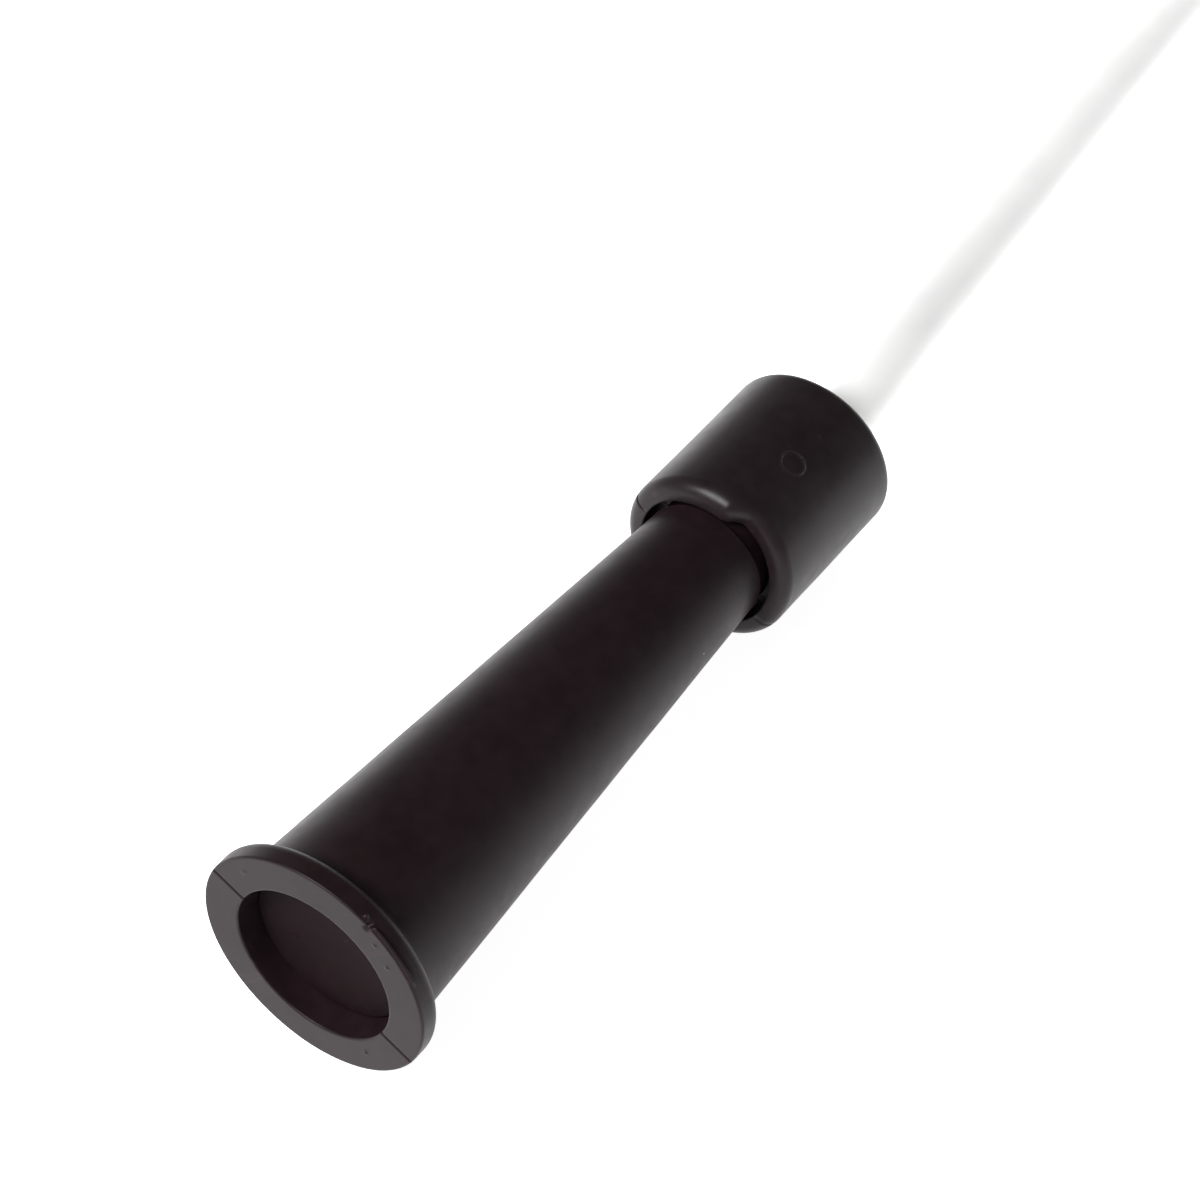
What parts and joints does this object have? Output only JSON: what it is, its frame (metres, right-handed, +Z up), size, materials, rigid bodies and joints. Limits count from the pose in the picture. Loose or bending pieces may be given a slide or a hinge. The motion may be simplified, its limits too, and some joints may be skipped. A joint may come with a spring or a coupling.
{
  "type": "cable shutter release",
  "caption": "Hand-held cable shutter release: tapered two-shell grip with a finger flange, recessed thumb plunger, twist lock collar, sheathed cable and threaded camera coupling.",
  "frame": {"origin": "centre of the handle, without its cable, on the surface that it rests on", "axes": "+X from the finger flange to the collar, where the cable leaves; +Z up. The handle's own axis leans 2.1 degrees down towards the collar, because the flange and the collar both touch the surface."},
  "size_m": [0.2108, 0.0724, 0.021],
  "materials": {
    "grip": "satin moulded black plastic with a faint warm tint",
    "collar": "satin moulded black plastic",
    "button": "matt moulded black plastic",
    "sheath": "milky white soft plastic sheath",
    "steel": "turned",
    "spring_steel": "drawn wire",
    "wire": "stranded",
    "conduit": "close-wound",
    "brass": "turned",
    "nickel": "nickel plated, knurled",
    "nylon": "natural nylon",
    "tie": "plastic covered wire"
  },
  "bodies": {
    "handle": {"upper_shell": "grip", "lower_shell": "grip", "guide_bush": "nylon", "spring_washer": "steel", "return_spring": "spring_steel", "cable_ferrule": "brass", "handle_sheath_end": "sheath", "handle_conduit": "conduit", "cord_lead": "sheath", "cord_coil": "sheath", "cord_tail": "sheath", "coil_tie": "tie", "tip_sheath_end": "sheath", "tip_conduit": "conduit", "tip_ferrule": "nickel", "spindle_clip": "spring_steel"},
    "plunger": {"thumb_button": "button", "plunger_rod": "steel", "rod_clip": "spring_steel", "wire_crimp": "brass", "handle_wire": "wire"},
    "collar": {"lock_collar": "collar"},
    "lock_pin": {"lock_pin": "steel"},
    "camera_coupling": {"coupling_sleeve": "nickel", "thread_nozzle": "nickel"},
    "release_pin": {"release_pin": "steel", "pin_crimp": "brass", "tip_wire": "wire"}
  },
  "joints": [
    {"name": "plunger_press", "type": "slide", "parent": "handle", "child": "plunger", "axis": [0.9993, 0, -0.0368], "range_m": [0, 0.008], "stiffness_N_per_m": 300, "springref_m": -0.008, "deforming": ["return_spring"]},
    {"name": "collar_turn", "type": "hinge", "parent": "handle", "child": "collar", "pos_m": [0.02483, 0, 0.00836], "axis": [0.9993, 0, -0.0368], "range_deg": [0, 60]},
    {"name": "lock_pin_slide", "type": "slide", "parent": "handle", "child": "lock_pin", "axis": [0.0325, -0.4695, 0.8824], "range_m": [-0.0009, 0]},
    {"name": "coupling_spin", "type": "hinge", "parent": "handle", "child": "camera_coupling", "pos_m": [0.171, 0.045, 0.0044], "axis": [0, 1, 0], "continuous": true},
    {"name": "release_pin_slide", "type": "slide", "parent": "handle", "child": "release_pin", "axis": [0, 1, 0], "range_m": [0, 0.008]}
  ],
  "couplings": [
    {"joint": "collar_turn", "follows": "lock_pin_slide", "rad_per_m": -1163.5},
    {"joint": "release_pin_slide", "follows": "plunger_press", "ratio": 1}
  ]
}
